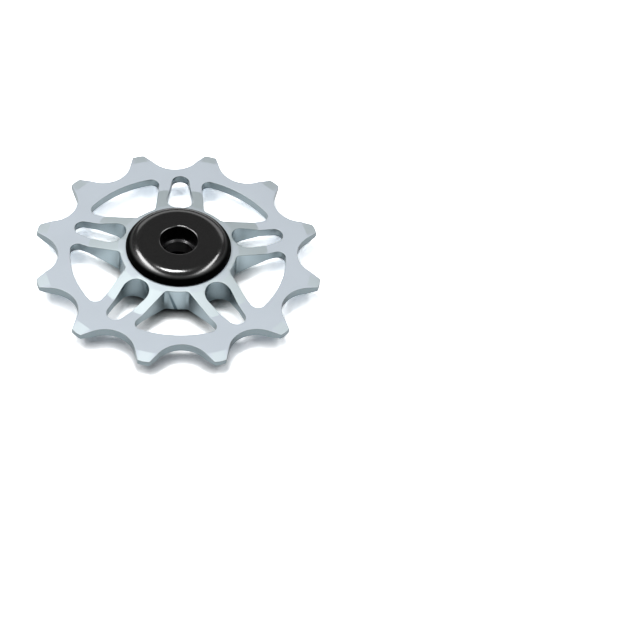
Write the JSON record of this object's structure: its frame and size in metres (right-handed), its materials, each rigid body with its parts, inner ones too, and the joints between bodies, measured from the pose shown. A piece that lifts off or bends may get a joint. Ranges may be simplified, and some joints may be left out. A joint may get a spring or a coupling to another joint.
{
  "type": "derailleur jockey wheel",
  "caption": "Narrow toothed idler wheel for a bicycle derailleur cage, with slotted arms and a sealed ball bearing between two black caps that a bolt clamps.",
  "frame": {"origin": "on the axle's axis, in the middle of the tooth thickness and of the axle bore", "axes": "+Z along the axle, out of the front cap; +X along the one arm that lines up with a tooth"},
  "size_m": [0.049, 0.049, 0.0075],
  "materials": {
    "sprocket_anodise": "satin blue-grey anodised, machined",
    "cap_anodise": "polished gloss black anodised",
    "bush_steel": "turned, dark",
    "race_steel": "ground bearing steel",
    "ball_ceramic": "polished dark ceramic",
    "cage_nylon": "moulded nylon",
    "seal_rubber": "moulded rubber"
  },
  "bodies": {
    "core": {"axle_bush": "bush_steel", "inner_race": "race_steel", "front_cap": "cap_anodise", "rear_cap": "cap_anodise"},
    "wheel": {"sprocket": "sprocket_anodise", "outer_race": "race_steel", "front_seal": "seal_rubber", "rear_seal": "seal_rubber"},
    "cage": {"ball_cage": "cage_nylon"},
    "ball_1": {"ball_1": "ball_ceramic"},
    "ball_2": {"ball_2": "ball_ceramic"},
    "ball_3": {"ball_3": "ball_ceramic"},
    "ball_4": {"ball_4": "ball_ceramic"},
    "ball_5": {"ball_5": "ball_ceramic"},
    "ball_6": {"ball_6": "ball_ceramic"},
    "ball_7": {"ball_7": "ball_ceramic"},
    "ball_8": {"ball_8": "ball_ceramic"},
    "ball_9": {"ball_9": "ball_ceramic"},
    "ball_10": {"ball_10": "ball_ceramic"},
    "ball_11": {"ball_11": "ball_ceramic"}
  },
  "joints": [
    {"name": "wheel_spin", "type": "hinge", "parent": "core", "child": "wheel", "pos_m": [0, 0, 0], "axis": [0, 0, 1], "continuous": true},
    {"name": "cage_orbit", "type": "hinge", "parent": "core", "child": "cage", "pos_m": [0, 0, 0], "axis": [0, 0, 1], "continuous": true},
    {"name": "ball_1_roll", "type": "hinge", "parent": "cage", "child": "ball_1", "pos_m": [0.0055, 0, 0], "axis": [0, 0, 1], "continuous": true},
    {"name": "ball_2_roll", "type": "hinge", "parent": "cage", "child": "ball_2", "pos_m": [0.00463, 0.00297, 0], "axis": [0, 0, 1], "continuous": true},
    {"name": "ball_3_roll", "type": "hinge", "parent": "cage", "child": "ball_3", "pos_m": [0.00228, 0.005, 0], "axis": [0, 0, 1], "continuous": true},
    {"name": "ball_4_roll", "type": "hinge", "parent": "cage", "child": "ball_4", "pos_m": [-0.00078, 0.00544, 0], "axis": [0, 0, 1], "continuous": true},
    {"name": "ball_5_roll", "type": "hinge", "parent": "cage", "child": "ball_5", "pos_m": [-0.0036, 0.00416, 0], "axis": [0, 0, 1], "continuous": true},
    {"name": "ball_6_roll", "type": "hinge", "parent": "cage", "child": "ball_6", "pos_m": [-0.00528, 0.00155, 0], "axis": [0, 0, 1], "continuous": true},
    {"name": "ball_7_roll", "type": "hinge", "parent": "cage", "child": "ball_7", "pos_m": [-0.00528, -0.00155, 0], "axis": [0, 0, 1], "continuous": true},
    {"name": "ball_8_roll", "type": "hinge", "parent": "cage", "child": "ball_8", "pos_m": [-0.0036, -0.00416, 0], "axis": [0, 0, 1], "continuous": true},
    {"name": "ball_9_roll", "type": "hinge", "parent": "cage", "child": "ball_9", "pos_m": [-0.00078, -0.00544, 0], "axis": [0, 0, 1], "continuous": true},
    {"name": "ball_10_roll", "type": "hinge", "parent": "cage", "child": "ball_10", "pos_m": [0.00228, -0.005, 0], "axis": [0, 0, 1], "continuous": true},
    {"name": "ball_11_roll", "type": "hinge", "parent": "cage", "child": "ball_11", "pos_m": [0.00463, -0.00297, 0], "axis": [0, 0, 1], "continuous": true}
  ],
  "couplings": [
    {"joint": "cage_orbit", "follows": "wheel_spin", "ratio": 0.58182},
    {"joint": "ball_1_roll", "follows": "wheel_spin", "ratio": 2.9737},
    {"joint": "ball_2_roll", "follows": "wheel_spin", "ratio": 2.9737},
    {"joint": "ball_3_roll", "follows": "wheel_spin", "ratio": 2.9737},
    {"joint": "ball_4_roll", "follows": "wheel_spin", "ratio": 2.9737},
    {"joint": "ball_5_roll", "follows": "wheel_spin", "ratio": 2.9737},
    {"joint": "ball_6_roll", "follows": "wheel_spin", "ratio": 2.9737},
    {"joint": "ball_7_roll", "follows": "wheel_spin", "ratio": 2.9737},
    {"joint": "ball_8_roll", "follows": "wheel_spin", "ratio": 2.9737},
    {"joint": "ball_9_roll", "follows": "wheel_spin", "ratio": 2.9737},
    {"joint": "ball_10_roll", "follows": "wheel_spin", "ratio": 2.9737},
    {"joint": "ball_11_roll", "follows": "wheel_spin", "ratio": 2.9737}
  ]
}
